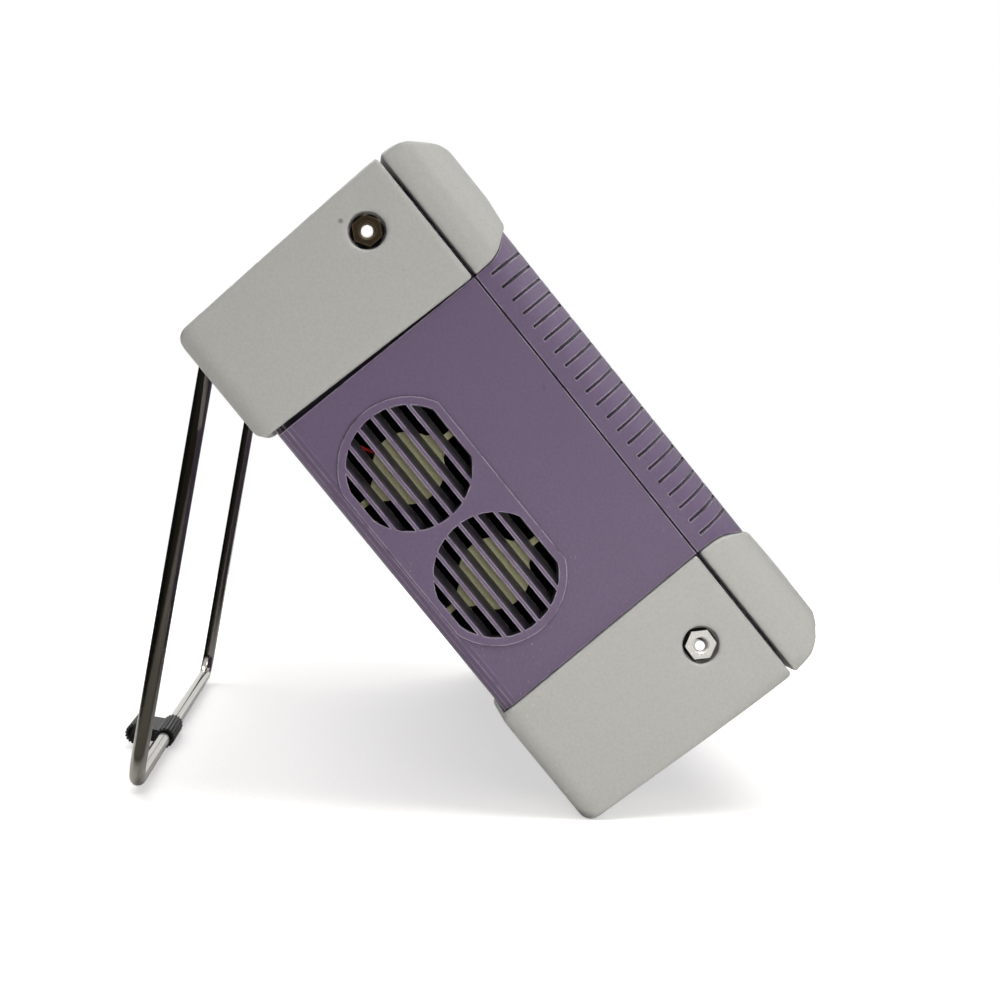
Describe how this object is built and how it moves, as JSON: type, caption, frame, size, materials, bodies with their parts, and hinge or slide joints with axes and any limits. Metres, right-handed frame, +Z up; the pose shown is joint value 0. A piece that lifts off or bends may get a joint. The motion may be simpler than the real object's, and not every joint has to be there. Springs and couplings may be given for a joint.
{
  "type": "spectrum analyzer",
  "caption": "Portable spectrum analyzer in a two-shell plastic case with rubber corner bumpers, side fan vents, front keypad and knob, leaning back on a folding wire bail.",
  "frame": {"origin": "on the surface the instrument stands on, under the middle of its bounding box", "axes": "+X across the width to the user's right, -Y towards the user, +Z up; the case leans back 39.5 degrees on its bail"},
  "size_m": [0.355, 0.2146, 0.1932],
  "materials": {
    "case_plastic": "fine textured purple-grey moulded plastic",
    "bumper_rubber": "matte light grey moulded elastomer, lightly scuffed",
    "black_plastic": "black moulded plastic",
    "bail_wire": "glossy black nickel plated steel wire",
    "bright_nickel": "bright nickel plated brass",
    "aged_bronze": "dark oxidised brass",
    "fan_khaki": "olive khaki moulded fan stator",
    "window_glass": "clear dark tinted display window",
    "screen_black": "unlit liquid crystal panel",
    "overlay_film": "fine grained dark membrane sheet",
    "key_plastic": "soft grey key caps",
    "circuit_board": "green solder mask",
    "tin_shield": "tinned sheet steel"
  },
  "bodies": {
    "case": {"rear_shell": "case_plastic", "front_shell": "case_plastic", "battery_door": "case_plastic", "seam_gasket": "black_plastic", "rear_bumper_top_left": "bumper_rubber", "rear_bumper_bottom_left": "bumper_rubber", "rear_bumper_top_right": "bumper_rubber", "rear_bumper_bottom_right": "bumper_rubber", "front_bumper_top_left": "bumper_rubber", "front_bumper_bottom_left": "bumper_rubber", "front_bumper_top_right": "bumper_rubber", "front_bumper_bottom_right": "bumper_rubber", "thread_insert_top_left": "aged_bronze", "thread_insert_top_right": "aged_bronze", "thread_insert_bottom_left": "bright_nickel", "thread_insert_bottom_right": "bright_nickel", "bail_saddle_left": "black_plastic", "bail_saddle_right": "black_plastic", "fan_frame_upper": "fan_khaki", "fan_frame_lower": "fan_khaki", "display_window": "window_glass", "lcd_module": "screen_black", "keypad_overlay": "overlay_film", "keypad_board": "circuit_board", "main_board": "circuit_board", "rf_module": "tin_shield", "heat_sink": "tin_shield", "battery_pack": "black_plastic", "knob_encoder": "tin_shield", "reference_socket": "bright_nickel", "rf_output": "bright_nickel", "rf_input": "bright_nickel", "dc_inlet": "black_plastic", "lan_socket": "tin_shield"},
    "bail": {"bail": "bail_wire", "bail_sleeve": "black_plastic"},
    "upper_rotor": {"fan_rotor_upper": "black_plastic"},
    "lower_rotor": {"fan_rotor_lower": "black_plastic"},
    "knob": {"tuning_knob": "black_plastic"},
    "softkey_1": {"softkey_1": "key_plastic"},
    "softkey_2": {"softkey_2": "key_plastic"},
    "softkey_3": {"softkey_3": "key_plastic"},
    "softkey_4": {"softkey_4": "key_plastic"},
    "softkey_5": {"softkey_5": "key_plastic"},
    "key_7": {"key_7": "key_plastic"},
    "key_8": {"key_8": "key_plastic"},
    "key_9": {"key_9": "key_plastic"},
    "key_4": {"key_4": "key_plastic"},
    "key_5": {"key_5": "key_plastic"},
    "key_6": {"key_6": "key_plastic"},
    "key_1": {"key_1": "key_plastic"},
    "key_2": {"key_2": "key_plastic"},
    "key_3": {"key_3": "key_plastic"},
    "key_0": {"key_0": "key_plastic"},
    "key_point": {"key_point": "key_plastic"},
    "key_sign": {"key_sign": "key_plastic"},
    "power_key": {"power_key": "key_plastic"}
  },
  "joints": [
    {"name": "bail_swing", "type": "hinge", "parent": "case", "child": "bail", "pos_m": [0, 0.07164, 0.13439], "axis": [1, 0, 0], "range_deg": [-48.5, 0]},
    {"name": "upper_rotor_spin", "type": "hinge", "parent": "case", "child": "upper_rotor", "pos_m": [-0.165, 0.01233, 0.10034], "axis": [1, 0, 0], "continuous": true},
    {"name": "lower_rotor_spin", "type": "hinge", "parent": "case", "child": "lower_rotor", "pos_m": [-0.165, -0.01247, 0.07025], "axis": [1, 0, 0], "continuous": true},
    {"name": "knob_turn", "type": "hinge", "parent": "case", "child": "knob", "pos_m": [0.104, -0.02297, 0.16521], "axis": [0, -0.7716, 0.6361], "continuous": true},
    {"name": "softkey_1_press", "type": "slide", "parent": "case", "child": "softkey_1", "axis": [0, 0.7716, -0.6361], "range_m": [0, 0.0008], "stiffness_N_per_m": 600, "springref_m": -0.0012},
    {"name": "softkey_2_press", "type": "slide", "parent": "case", "child": "softkey_2", "axis": [0, 0.7716, -0.6361], "range_m": [0, 0.0008], "stiffness_N_per_m": 600, "springref_m": -0.0012},
    {"name": "softkey_3_press", "type": "slide", "parent": "case", "child": "softkey_3", "axis": [0, 0.7716, -0.6361], "range_m": [0, 0.0008], "stiffness_N_per_m": 600, "springref_m": -0.0012},
    {"name": "softkey_4_press", "type": "slide", "parent": "case", "child": "softkey_4", "axis": [0, 0.7716, -0.6361], "range_m": [0, 0.0008], "stiffness_N_per_m": 600, "springref_m": -0.0012},
    {"name": "softkey_5_press", "type": "slide", "parent": "case", "child": "softkey_5", "axis": [0, 0.7716, -0.6361], "range_m": [0, 0.0008], "stiffness_N_per_m": 600, "springref_m": -0.0012},
    {"name": "key_7_press", "type": "slide", "parent": "case", "child": "key_7", "axis": [0, 0.7716, -0.6361], "range_m": [0, 0.0008], "stiffness_N_per_m": 600, "springref_m": -0.0012},
    {"name": "key_8_press", "type": "slide", "parent": "case", "child": "key_8", "axis": [0, 0.7716, -0.6361], "range_m": [0, 0.0008], "stiffness_N_per_m": 600, "springref_m": -0.0012},
    {"name": "key_9_press", "type": "slide", "parent": "case", "child": "key_9", "axis": [0, 0.7716, -0.6361], "range_m": [0, 0.0008], "stiffness_N_per_m": 600, "springref_m": -0.0012},
    {"name": "key_4_press", "type": "slide", "parent": "case", "child": "key_4", "axis": [0, 0.7716, -0.6361], "range_m": [0, 0.0008], "stiffness_N_per_m": 600, "springref_m": -0.0012},
    {"name": "key_5_press", "type": "slide", "parent": "case", "child": "key_5", "axis": [0, 0.7716, -0.6361], "range_m": [0, 0.0008], "stiffness_N_per_m": 600, "springref_m": -0.0012},
    {"name": "key_6_press", "type": "slide", "parent": "case", "child": "key_6", "axis": [0, 0.7716, -0.6361], "range_m": [0, 0.0008], "stiffness_N_per_m": 600, "springref_m": -0.0012},
    {"name": "key_1_press", "type": "slide", "parent": "case", "child": "key_1", "axis": [0, 0.7716, -0.6361], "range_m": [0, 0.0008], "stiffness_N_per_m": 600, "springref_m": -0.0012},
    {"name": "key_2_press", "type": "slide", "parent": "case", "child": "key_2", "axis": [0, 0.7716, -0.6361], "range_m": [0, 0.0008], "stiffness_N_per_m": 600, "springref_m": -0.0012},
    {"name": "key_3_press", "type": "slide", "parent": "case", "child": "key_3", "axis": [0, 0.7716, -0.6361], "range_m": [0, 0.0008], "stiffness_N_per_m": 600, "springref_m": -0.0012},
    {"name": "key_0_press", "type": "slide", "parent": "case", "child": "key_0", "axis": [0, 0.7716, -0.6361], "range_m": [0, 0.0008], "stiffness_N_per_m": 600, "springref_m": -0.0012},
    {"name": "key_point_press", "type": "slide", "parent": "case", "child": "key_point", "axis": [0, 0.7716, -0.6361], "range_m": [0, 0.0008], "stiffness_N_per_m": 600, "springref_m": -0.0012},
    {"name": "key_sign_press", "type": "slide", "parent": "case", "child": "key_sign", "axis": [0, 0.7716, -0.6361], "range_m": [0, 0.0008], "stiffness_N_per_m": 600, "springref_m": -0.0012},
    {"name": "power_key_press", "type": "slide", "parent": "case", "child": "power_key", "axis": [0, 0.7716, -0.6361], "range_m": [0, 0.0008], "stiffness_N_per_m": 600, "springref_m": -0.0012}
  ]
}
